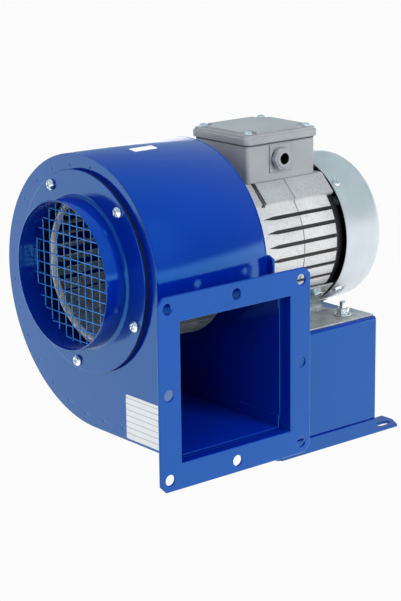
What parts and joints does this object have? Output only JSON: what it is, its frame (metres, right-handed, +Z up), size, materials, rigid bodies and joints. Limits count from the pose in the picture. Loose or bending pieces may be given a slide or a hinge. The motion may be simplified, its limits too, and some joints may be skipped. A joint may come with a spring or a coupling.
{
  "type": "centrifugal blower",
  "caption": "Direct-driven centrifugal blower: welded scroll with round inlet spigot and square outlet flange, forward curved impeller and ribbed foot motor on a sheet steel pedestal.",
  "frame": {"origin": "on the floor, under the middle of the whole outline", "axes": "+Z up; the shaft runs along Y, the inlet opens towards -Y and the motor stands towards +Y; the outlet opens towards +X"},
  "size_m": [0.237, 0.324, 0.2838],
  "materials": {
    "blue_paint": "glossy powder coat",
    "galvanised": "galvanised sheet",
    "zinc": "bright zinc plate",
    "cast_aluminium": "as cast",
    "grey_paint": "satin grey paint",
    "silver_paint": "satin silver paint",
    "black_paint": "satin black paint",
    "rubber_black": "matt foam and seal rubber",
    "steel": "ground steel",
    "core_steel": "stacked sheet",
    "copper": "varnished winding wire",
    "brass": "turned brass",
    "plastic_brown": "moulded terminal block",
    "plastic_black": "moulded fan",
    "label_white": "blank printed film"
  },
  "bodies": {
    "housing": {"front_plate": "blue_paint", "rear_plate": "blue_paint", "scroll_wrapper": "blue_paint", "outlet_flange": "blue_paint", "inlet_ring": "blue_paint", "inlet_spigot": "blue_paint", "inlet_gasket": "rubber_black", "inlet_guard": "blue_paint", "ring_screws": "zinc", "ring_nuts": "zinc", "front_bearing_outer": "steel", "rear_bearing_outer": "steel", "front_end_shield": "cast_aluminium", "rear_end_shield": "black_paint", "tie_bolts": "zinc", "motor_frame": "cast_aluminium", "stator_core": "core_steel", "stator_winding": "copper", "fan_cowl": "silver_paint", "cowl_screws": "zinc", "terminal_box": "grey_paint", "box_gasket": "rubber_black", "box_lid": "grey_paint", "lid_screws": "zinc", "box_screws": "zinc", "terminal_block": "plastic_brown", "terminal_studs": "brass", "gland_body": "grey_paint", "gland_nut": "grey_paint", "gland_seal": "rubber_black", "motor_feet": "galvanised", "foot_bolts": "zinc", "foot_washers": "zinc", "plate_studs": "zinc", "plate_nuts": "zinc", "face_bolts": "zinc", "face_washers": "zinc", "support_plate": "blue_paint", "pedestal": "blue_paint", "foot_rails": "blue_paint", "rating_label": "label_white", "small_label": "label_white"},
    "rotor": {"motor_shaft": "steel", "shaft_key": "steel", "rotor_core": "core_steel", "front_bearing_inner": "steel", "rear_bearing_inner": "steel", "impeller_blades": "galvanised", "impeller_front_ring": "galvanised", "impeller_back_plate": "galvanised", "impeller_hub": "steel", "hub_rivets": "steel", "hub_bolt": "zinc", "hub_washer": "zinc", "cooling_fan": "plastic_black", "fan_clip": "steel"},
    "front_balls": {"front_bearing_balls": "steel"},
    "rear_balls": {"rear_bearing_balls": "steel"}
  },
  "joints": [
    {"name": "rotor_spin", "type": "hinge", "parent": "housing", "child": "rotor", "pos_m": [-0.0045, -0.024, 0.182], "axis": [0, -1, 0], "continuous": true},
    {"name": "front_balls_spin", "type": "hinge", "parent": "housing", "child": "front_balls", "pos_m": [-0.0045, -0.0095, 0.182], "axis": [0, -1, 0], "continuous": true},
    {"name": "rear_balls_spin", "type": "hinge", "parent": "housing", "child": "rear_balls", "pos_m": [-0.0045, 0.0965, 0.182], "axis": [0, -1, 0], "continuous": true}
  ],
  "couplings": [
    {"joint": "front_balls_spin", "follows": "rotor_spin", "ratio": 0.384},
    {"joint": "rear_balls_spin", "follows": "rotor_spin", "ratio": 0.384}
  ]
}
